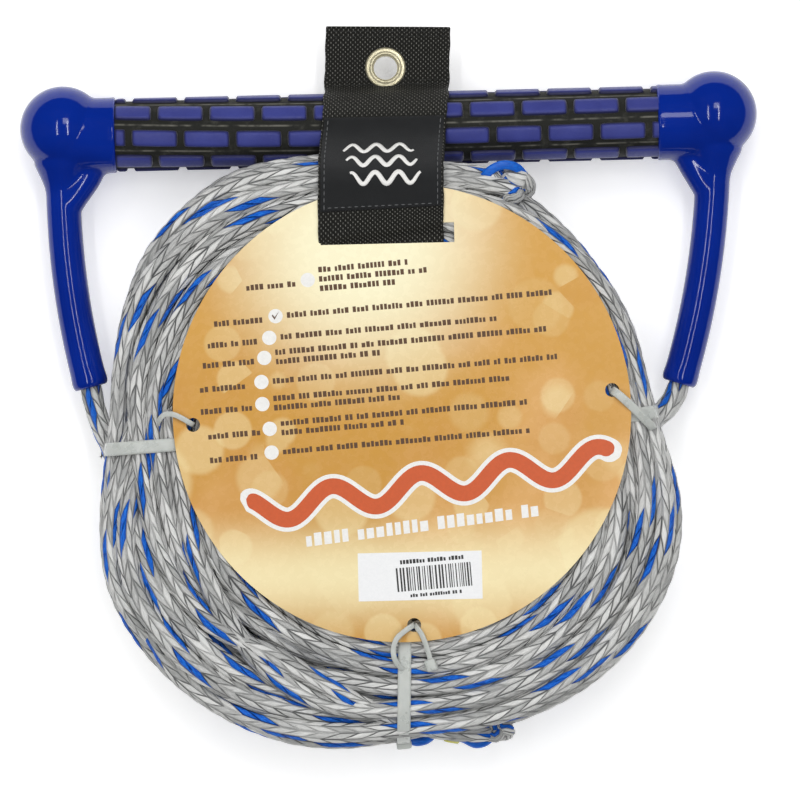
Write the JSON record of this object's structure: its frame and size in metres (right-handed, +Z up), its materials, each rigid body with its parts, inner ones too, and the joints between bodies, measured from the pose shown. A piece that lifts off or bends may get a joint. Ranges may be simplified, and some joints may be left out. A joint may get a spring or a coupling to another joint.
{
  "type": "tow rope handle",
  "caption": "Tow rope handle packed flat: rubber grip bar with ball ends and curved rope sleeves, a coiled braided rope, a webbing hang strap with an eyelet and a round card.",
  "frame": {"origin": "on the ground under the middle of the box round the handle, strap and card, without the rope and its ties", "axes": "+X along the grip bar, +Y from the coil towards the bar and the hanging tab, +Z up from the ground the part lies on"},
  "size_m": [0.3022, 0.2991, 0.052],
  "materials": {
    "bar_aluminium": "brushed",
    "grip_rubber": "matt",
    "grip_blocks": "satin",
    "cap_vinyl": "glossy soft vinyl",
    "rope": "braided polyethylene with a blue tracer",
    "webbing": "woven",
    "label_satin": "satin weave",
    "eyelet_brass": "polished",
    "card": "gloss printed",
    "sticker_paper": "matt",
    "tie_nylon": "translucent nylon",
    "tape": "vinyl tape"
  },
  "bodies": {
    "handle": {"bar_tube": "bar_aluminium", "grip_sleeve": "grip_rubber", "grip_blocks": "grip_blocks", "end_cap_left": "cap_vinyl", "end_cap_right": "cap_vinyl", "bridle_core_bar": "rope", "strap_loop": "webbing", "woven_label": "label_satin", "display_card": "card", "barcode_sticker": "sticker_paper", "rope_coil": "rope", "bridle_lead_left": "rope", "bridle_lead_right": "rope", "bridle_knot": "rope", "end_knot": "rope", "end_tape": "tape", "bundle_tie_left": "tie_nylon", "bundle_tie_right": "tie_nylon", "bundle_tie_front": "tie_nylon", "card_tie_left": "tie_nylon", "card_tie_right": "tie_nylon", "card_tie_front": "tie_nylon"},
    "sleeve_left": {"rope_sleeve_left": "cap_vinyl", "bridle_core_left": "rope"},
    "sleeve_right": {"rope_sleeve_right": "cap_vinyl", "bridle_core_right": "rope"},
    "hang_tab": {"strap_tab": "webbing", "eyelet_barrel": "eyelet_brass", "eyelet_washer": "eyelet_brass"}
  },
  "joints": [
    {"name": "sleeve_left_flex", "type": "hinge", "parent": "handle", "child": "sleeve_left", "pos_m": [-0.1335, 0.0866, 0.0176], "axis": [0, 0, -1], "range_deg": [0, 10]},
    {"name": "sleeve_right_flex", "type": "hinge", "parent": "handle", "child": "sleeve_right", "pos_m": [0.1335, 0.0866, 0.0176], "axis": [0, 0, 1], "range_deg": [0, 10]},
    {"name": "hang_tab_flex", "type": "hinge", "parent": "handle", "child": "hang_tab", "pos_m": [-0.0015, 0.0836, 0.0176], "axis": [1, 0, 0], "range_deg": [-20, 40]}
  ]
}
